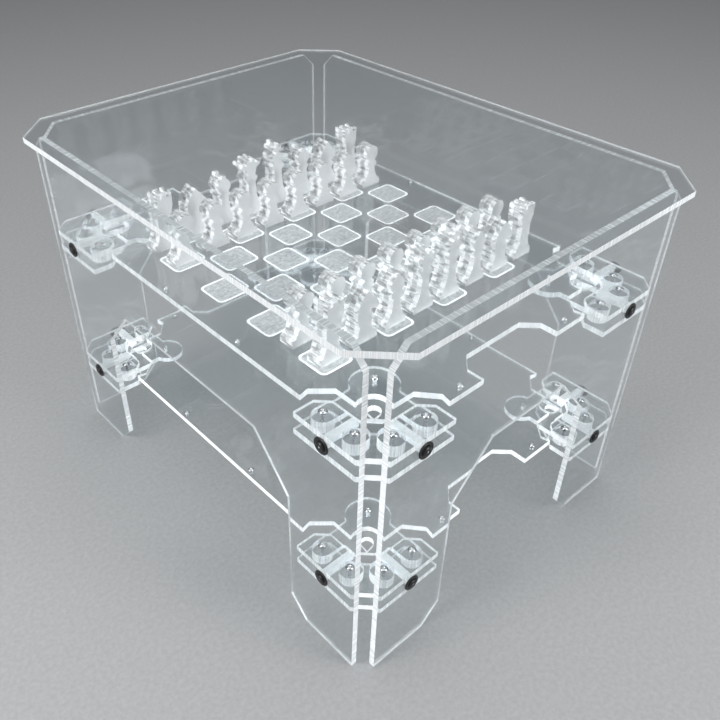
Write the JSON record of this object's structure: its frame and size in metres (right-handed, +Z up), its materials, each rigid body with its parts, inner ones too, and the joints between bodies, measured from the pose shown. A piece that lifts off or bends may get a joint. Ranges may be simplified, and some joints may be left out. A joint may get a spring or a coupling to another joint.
{
  "type": "chess table with chessmen",
  "caption": "Clear acrylic chess table with arched panels, a lift-off top, an engraved board shelf, a storage shelf and two armies of flat-cut chessmen.",
  "frame": {"origin": "centre of the footprint on the floor", "axes": "+Z up, +Y along the ranks from the clear army to the frosted army and along the table's longer side, +X across the files"},
  "size_m": [0.58, 0.736, 0.51],
  "materials": {
    "top_acrylic": "polished clear",
    "panel_acrylic": "polished clear",
    "shelf_acrylic": "clear, squares engraved",
    "bracket_acrylic": "clear, laser-cut edge",
    "frosted_men": "frosted",
    "clear_men": "clear",
    "steel_screws": "bright",
    "black_washers": "satin"
  },
  "bodies": {
    "table_frame": {"panel_left": "panel_acrylic", "panel_right": "panel_acrylic", "panel_front": "panel_acrylic", "panel_back": "panel_acrylic", "board_shelf": "shelf_acrylic", "storage_shelf": "shelf_acrylic", "tie_bracket_board_fl": "bracket_acrylic", "tie_bracket_board_fr": "bracket_acrylic", "tie_bracket_board_bl": "bracket_acrylic", "tie_bracket_board_br": "bracket_acrylic", "tie_bracket_store_fl": "bracket_acrylic", "tie_bracket_store_fr": "bracket_acrylic", "tie_bracket_store_bl": "bracket_acrylic", "tie_bracket_store_br": "bracket_acrylic", "clamp_bracket_board_fl": "bracket_acrylic", "clamp_bracket_board_fr": "bracket_acrylic", "clamp_bracket_board_bl": "bracket_acrylic", "clamp_bracket_board_br": "bracket_acrylic", "clamp_bracket_store_fl": "bracket_acrylic", "clamp_bracket_store_fr": "bracket_acrylic", "clamp_bracket_store_bl": "bracket_acrylic", "clamp_bracket_store_br": "bracket_acrylic"},
    "top": {"top_sheet": "top_acrylic"},
    "frosted_rook_1": {"frosted_rook_1": "frosted_men"},
    "frosted_knight_2": {"frosted_knight_2": "frosted_men"},
    "frosted_bishop_3": {"frosted_bishop_3": "frosted_men"},
    "frosted_queen_4": {"frosted_queen_4": "frosted_men"},
    "frosted_king_5": {"frosted_king_5": "frosted_men"},
    "frosted_bishop_6": {"frosted_bishop_6": "frosted_men"},
    "frosted_knight_7": {"frosted_knight_7": "frosted_men"},
    "frosted_rook_8": {"frosted_rook_8": "frosted_men"},
    "frosted_pawn_1": {"frosted_pawn_1": "frosted_men"},
    "frosted_pawn_2": {"frosted_pawn_2": "frosted_men"},
    "frosted_pawn_3": {"frosted_pawn_3": "frosted_men"},
    "frosted_pawn_4": {"frosted_pawn_4": "frosted_men"},
    "frosted_pawn_5": {"frosted_pawn_5": "frosted_men"},
    "frosted_pawn_6": {"frosted_pawn_6": "frosted_men"},
    "frosted_pawn_7": {"frosted_pawn_7": "frosted_men"},
    "frosted_pawn_8": {"frosted_pawn_8": "frosted_men"},
    "clear_rook_1": {"clear_rook_1": "clear_men"},
    "clear_knight_2": {"clear_knight_2": "clear_men"},
    "clear_bishop_3": {"clear_bishop_3": "clear_men"},
    "clear_queen_4": {"clear_queen_4": "clear_men"},
    "clear_king_5": {"clear_king_5": "clear_men"},
    "clear_bishop_6": {"clear_bishop_6": "clear_men"},
    "clear_knight_7": {"clear_knight_7": "clear_men"},
    "clear_rook_8": {"clear_rook_8": "clear_men"},
    "clear_pawn_1": {"clear_pawn_1": "clear_men"},
    "clear_pawn_2": {"clear_pawn_2": "clear_men"},
    "clear_pawn_3": {"clear_pawn_3": "clear_men"},
    "clear_pawn_4": {"clear_pawn_4": "clear_men"},
    "clear_pawn_5": {"clear_pawn_5": "clear_men"},
    "clear_pawn_6": {"clear_pawn_6": "clear_men"},
    "clear_pawn_7": {"clear_pawn_7": "clear_men"},
    "clear_pawn_8": {"clear_pawn_8": "clear_men"}
  },
  "joints": [
    {"name": "top_lift", "type": "slide", "parent": "table_frame", "child": "top", "axis": [0, 0, 1], "range_m": [0, 0.2]},
    {"name": "frosted_rook_1_lift", "type": "slide", "parent": "table_frame", "child": "frosted_rook_1", "axis": [0, 0, 1], "range_m": [0, 0.03]},
    {"name": "frosted_knight_2_lift", "type": "slide", "parent": "table_frame", "child": "frosted_knight_2", "axis": [0, 0, 1], "range_m": [0, 0.03]},
    {"name": "frosted_bishop_3_lift", "type": "slide", "parent": "table_frame", "child": "frosted_bishop_3", "axis": [0, 0, 1], "range_m": [0, 0.03]},
    {"name": "frosted_queen_4_lift", "type": "slide", "parent": "table_frame", "child": "frosted_queen_4", "axis": [0, 0, 1], "range_m": [0, 0.03]},
    {"name": "frosted_king_5_lift", "type": "slide", "parent": "table_frame", "child": "frosted_king_5", "axis": [0, 0, 1], "range_m": [0, 0.03]},
    {"name": "frosted_bishop_6_lift", "type": "slide", "parent": "table_frame", "child": "frosted_bishop_6", "axis": [0, 0, 1], "range_m": [0, 0.03]},
    {"name": "frosted_knight_7_lift", "type": "slide", "parent": "table_frame", "child": "frosted_knight_7", "axis": [0, 0, 1], "range_m": [0, 0.03]},
    {"name": "frosted_rook_8_lift", "type": "slide", "parent": "table_frame", "child": "frosted_rook_8", "axis": [0, 0, 1], "range_m": [0, 0.03]},
    {"name": "frosted_pawn_1_lift", "type": "slide", "parent": "table_frame", "child": "frosted_pawn_1", "axis": [0, 0, 1], "range_m": [0, 0.03]},
    {"name": "frosted_pawn_2_lift", "type": "slide", "parent": "table_frame", "child": "frosted_pawn_2", "axis": [0, 0, 1], "range_m": [0, 0.03]},
    {"name": "frosted_pawn_3_lift", "type": "slide", "parent": "table_frame", "child": "frosted_pawn_3", "axis": [0, 0, 1], "range_m": [0, 0.03]},
    {"name": "frosted_pawn_4_lift", "type": "slide", "parent": "table_frame", "child": "frosted_pawn_4", "axis": [0, 0, 1], "range_m": [0, 0.03]},
    {"name": "frosted_pawn_5_lift", "type": "slide", "parent": "table_frame", "child": "frosted_pawn_5", "axis": [0, 0, 1], "range_m": [0, 0.03]},
    {"name": "frosted_pawn_6_lift", "type": "slide", "parent": "table_frame", "child": "frosted_pawn_6", "axis": [0, 0, 1], "range_m": [0, 0.03]},
    {"name": "frosted_pawn_7_lift", "type": "slide", "parent": "table_frame", "child": "frosted_pawn_7", "axis": [0, 0, 1], "range_m": [0, 0.03]},
    {"name": "frosted_pawn_8_lift", "type": "slide", "parent": "table_frame", "child": "frosted_pawn_8", "axis": [0, 0, 1], "range_m": [0, 0.03]},
    {"name": "clear_rook_1_lift", "type": "slide", "parent": "table_frame", "child": "clear_rook_1", "axis": [0, 0, 1], "range_m": [0, 0.03]},
    {"name": "clear_knight_2_lift", "type": "slide", "parent": "table_frame", "child": "clear_knight_2", "axis": [0, 0, 1], "range_m": [0, 0.03]},
    {"name": "clear_bishop_3_lift", "type": "slide", "parent": "table_frame", "child": "clear_bishop_3", "axis": [0, 0, 1], "range_m": [0, 0.03]},
    {"name": "clear_queen_4_lift", "type": "slide", "parent": "table_frame", "child": "clear_queen_4", "axis": [0, 0, 1], "range_m": [0, 0.03]},
    {"name": "clear_king_5_lift", "type": "slide", "parent": "table_frame", "child": "clear_king_5", "axis": [0, 0, 1], "range_m": [0, 0.03]},
    {"name": "clear_bishop_6_lift", "type": "slide", "parent": "table_frame", "child": "clear_bishop_6", "axis": [0, 0, 1], "range_m": [0, 0.03]},
    {"name": "clear_knight_7_lift", "type": "slide", "parent": "table_frame", "child": "clear_knight_7", "axis": [0, 0, 1], "range_m": [0, 0.03]},
    {"name": "clear_rook_8_lift", "type": "slide", "parent": "table_frame", "child": "clear_rook_8", "axis": [0, 0, 1], "range_m": [0, 0.03]},
    {"name": "clear_pawn_1_lift", "type": "slide", "parent": "table_frame", "child": "clear_pawn_1", "axis": [0, 0, 1], "range_m": [0, 0.03]},
    {"name": "clear_pawn_2_lift", "type": "slide", "parent": "table_frame", "child": "clear_pawn_2", "axis": [0, 0, 1], "range_m": [0, 0.03]},
    {"name": "clear_pawn_3_lift", "type": "slide", "parent": "table_frame", "child": "clear_pawn_3", "axis": [0, 0, 1], "range_m": [0, 0.03]},
    {"name": "clear_pawn_4_lift", "type": "slide", "parent": "table_frame", "child": "clear_pawn_4", "axis": [0, 0, 1], "range_m": [0, 0.03]},
    {"name": "clear_pawn_5_lift", "type": "slide", "parent": "table_frame", "child": "clear_pawn_5", "axis": [0, 0, 1], "range_m": [0, 0.03]},
    {"name": "clear_pawn_6_lift", "type": "slide", "parent": "table_frame", "child": "clear_pawn_6", "axis": [0, 0, 1], "range_m": [0, 0.03]},
    {"name": "clear_pawn_7_lift", "type": "slide", "parent": "table_frame", "child": "clear_pawn_7", "axis": [0, 0, 1], "range_m": [0, 0.03]},
    {"name": "clear_pawn_8_lift", "type": "slide", "parent": "table_frame", "child": "clear_pawn_8", "axis": [0, 0, 1], "range_m": [0, 0.03]}
  ]
}
